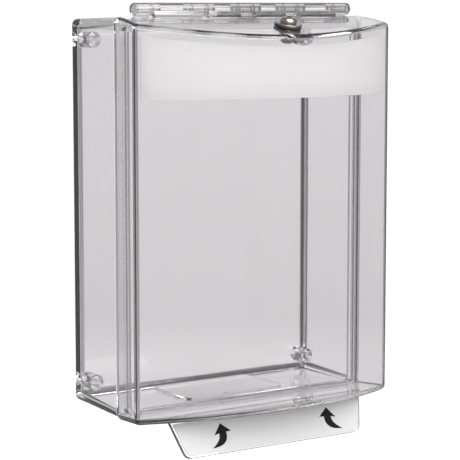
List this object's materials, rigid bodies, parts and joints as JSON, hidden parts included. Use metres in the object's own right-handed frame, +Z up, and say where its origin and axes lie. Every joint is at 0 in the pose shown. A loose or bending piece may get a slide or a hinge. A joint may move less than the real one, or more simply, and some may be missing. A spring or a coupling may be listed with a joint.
{
  "type": "protective dome cover",
  "caption": "Clear wall-mounted protective cover: an enclosed back box with a bowed, top-hinged dome that lifts by a tab, a sign strip and a sealed screw in its top.",
  "frame": {"origin": "centre of the flat back face that lies on the wall, which is also the centre of the four wall screw holes", "axes": "+Y into the wall, so the bowed front faces -Y; +X to the right seen from the front; +Z up, along the height"},
  "size_m": [0.1728, 0.0976, 0.2496],
  "materials": {
    "clear_box": "clear moulded polycarbonate, polished",
    "clear_frame": "clear moulded polycarbonate, polished",
    "clear_dome": "clear moulded polycarbonate, polished",
    "clear_pins": "clear polycarbonate rod",
    "gasket": "dark soft sealing strip",
    "sign_film": "white translucent film, satin",
    "tab_film": "pale translucent film, satin",
    "screw_metal": "polished stainless steel",
    "washer_metal": "stainless steel",
    "washer_rubber": "black sealing rubber",
    "inner_washer_metal": "zinc plated steel",
    "nut_metal": "zinc plated steel"
  },
  "bodies": {
    "base": {"back_box": "clear_box", "box_gasket": "gasket", "mounting_frame": "clear_frame", "hinge_pins": "clear_pins"},
    "dome": {"dome_cover": "clear_dome", "sign_label": "sign_film", "lift_label": "tab_film", "top_screw": "screw_metal", "top_washer": "washer_metal", "seal_washer": "washer_rubber", "inner_washer": "inner_washer_metal", "inner_nut": "nut_metal"}
  },
  "joints": [
    {"name": "dome_hinge", "type": "hinge", "parent": "base", "child": "dome", "pos_m": [0, -0.0522, 0.1152], "axis": [-1, 0, 0], "range_deg": [0, 110]}
  ]
}
